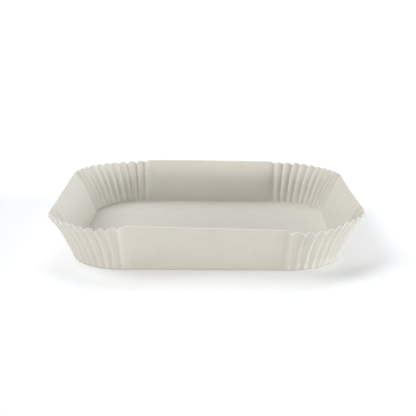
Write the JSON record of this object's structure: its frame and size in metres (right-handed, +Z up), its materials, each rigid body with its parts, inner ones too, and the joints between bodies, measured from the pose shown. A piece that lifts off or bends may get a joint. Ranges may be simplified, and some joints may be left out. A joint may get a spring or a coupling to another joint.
{
  "type": "air fryer paper liner",
  "caption": "Square greaseproof paper tray with smooth flared sides and fluted rounded corners, laid in an air fryer basket to hold food.",
  "frame": {"origin": "middle of the underside, on the surface the liner stands on", "axes": "+Z up out of the open top; the four smooth side panels face -Y (front), +X, +Y and -X"},
  "size_m": [0.2384, 0.2384, 0.0356],
  "materials": {
    "greaseproof_paper": "matte uncoated off-white greaseproof paper"
  },
  "bodies": {
    "root": {"liner": "greaseproof_paper"}
  },
  "joints": []
}
